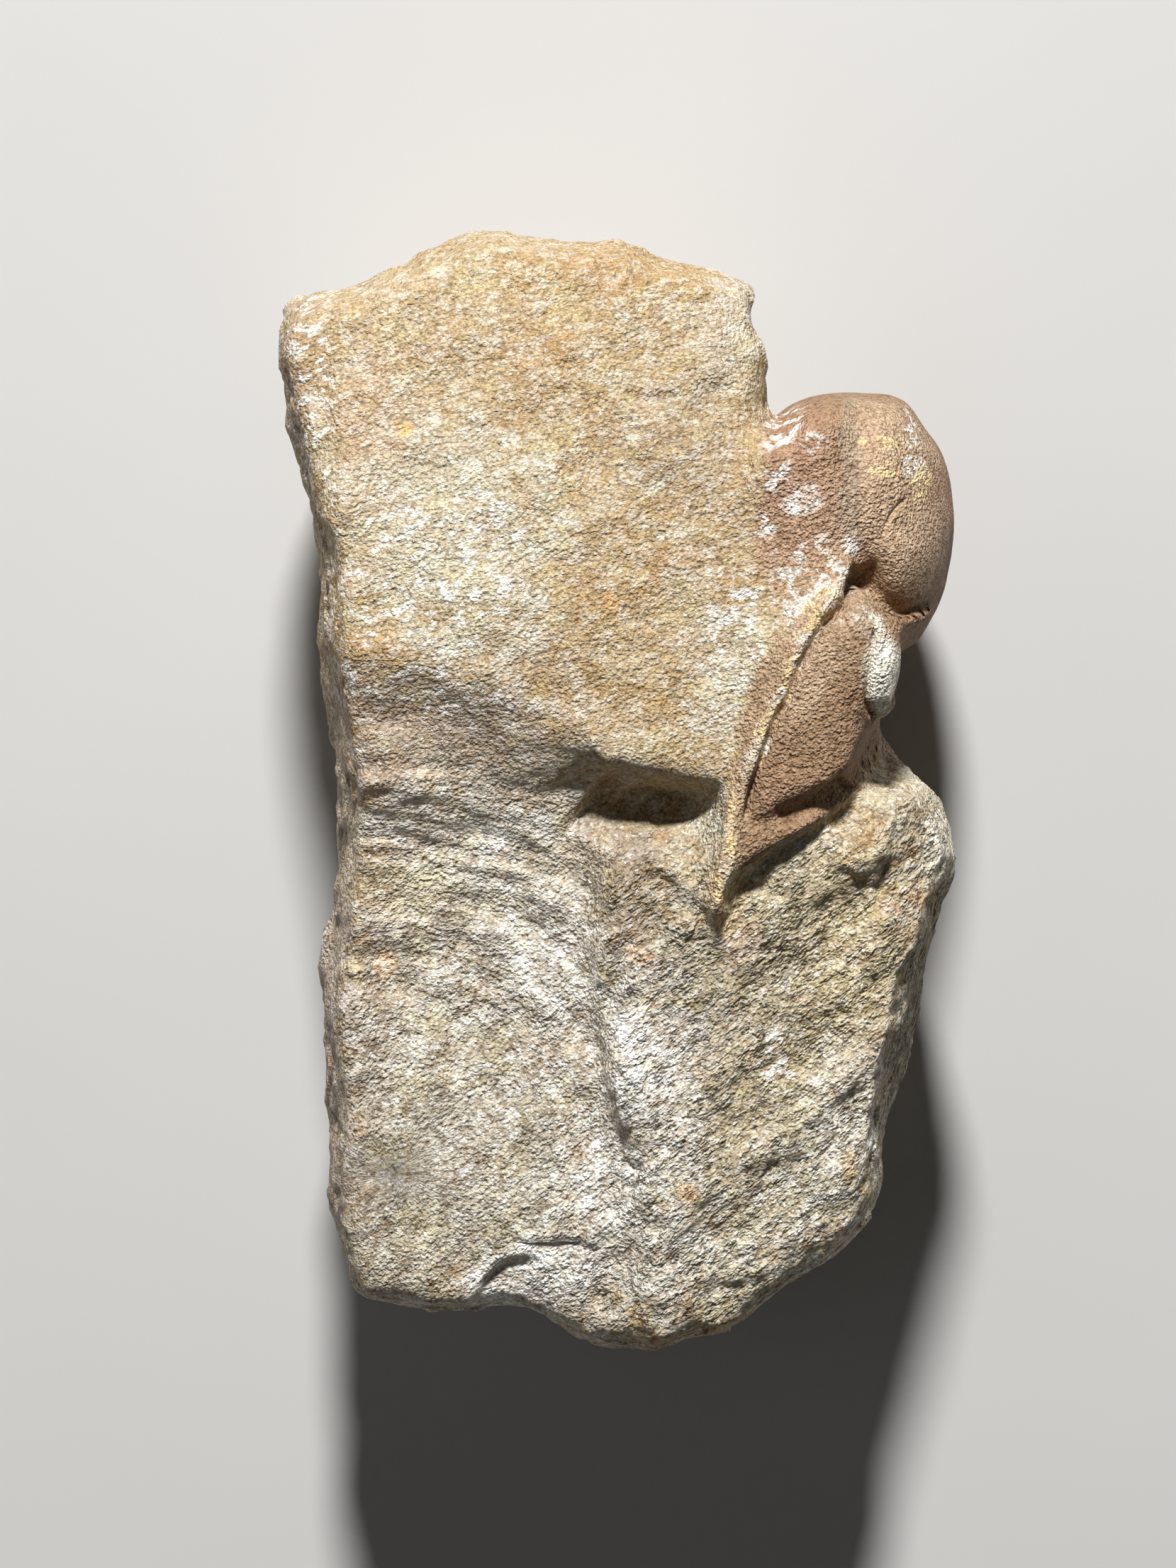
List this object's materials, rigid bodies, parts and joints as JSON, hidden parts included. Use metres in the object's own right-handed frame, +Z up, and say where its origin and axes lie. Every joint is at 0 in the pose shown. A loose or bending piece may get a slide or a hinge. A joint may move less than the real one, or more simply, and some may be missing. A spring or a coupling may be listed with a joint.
{
  "type": "fossil trilobite",
  "caption": "Fossil trilobite head, seen from its left side, standing out of the edge of a hand-sized block of tan sandstone",
  "frame": {"origin": "middle of the flat base the block lies on", "axes": "+Z up, away from the base; +Y along the block towards the front of the trilobite's head; +X towards the animal's back"},
  "size_m": [0.0544, 0.0898, 0.0375],
  "materials": {
    "sandstone": "rough broken sandstone",
    "fossil_cast": "matt, finely grained"
  },
  "bodies": {
    "root": {"matrix_stone": "sandstone", "trilobite_head": "fossil_cast"}
  },
  "joints": []
}
